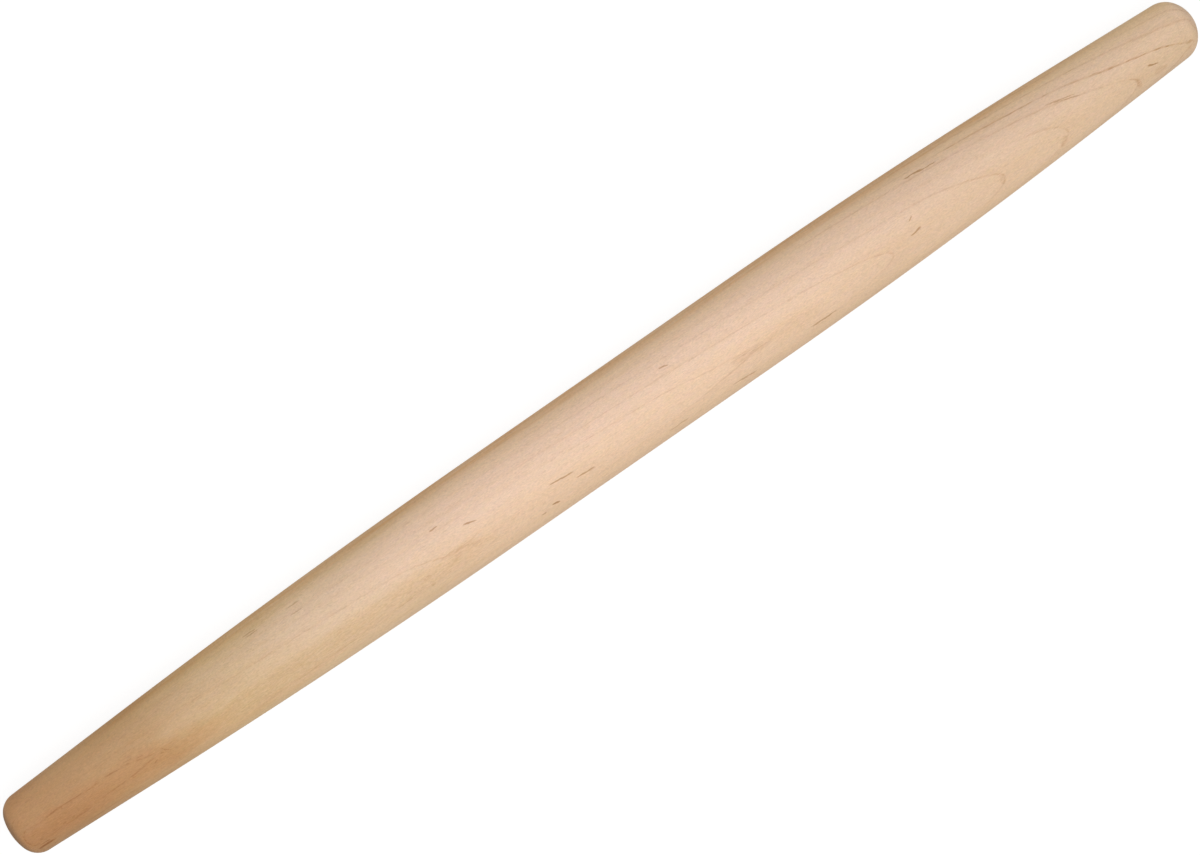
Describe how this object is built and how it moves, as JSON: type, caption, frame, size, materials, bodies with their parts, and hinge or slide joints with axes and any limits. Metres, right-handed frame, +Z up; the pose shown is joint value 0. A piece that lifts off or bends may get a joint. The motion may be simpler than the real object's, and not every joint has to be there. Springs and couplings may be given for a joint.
{
  "type": "french rolling pin",
  "caption": "Handle-less turned wooden rolling pin: an even barrel that sweeps into long tapers with domed ends.",
  "frame": {"origin": "on the turning axis, halfway between the tops of the two crowns", "axes": "+X along the turning axis towards the slim, rounder end; the blunt end is at -X; +Z up; the pin is round, so +Y is any direction square to both"},
  "size_m": [0.508, 0.0346, 0.0346],
  "materials": {
    "oiled_maple": "satin"
  },
  "bodies": {
    "root": {"pin_body": "oiled_maple"}
  },
  "joints": []
}
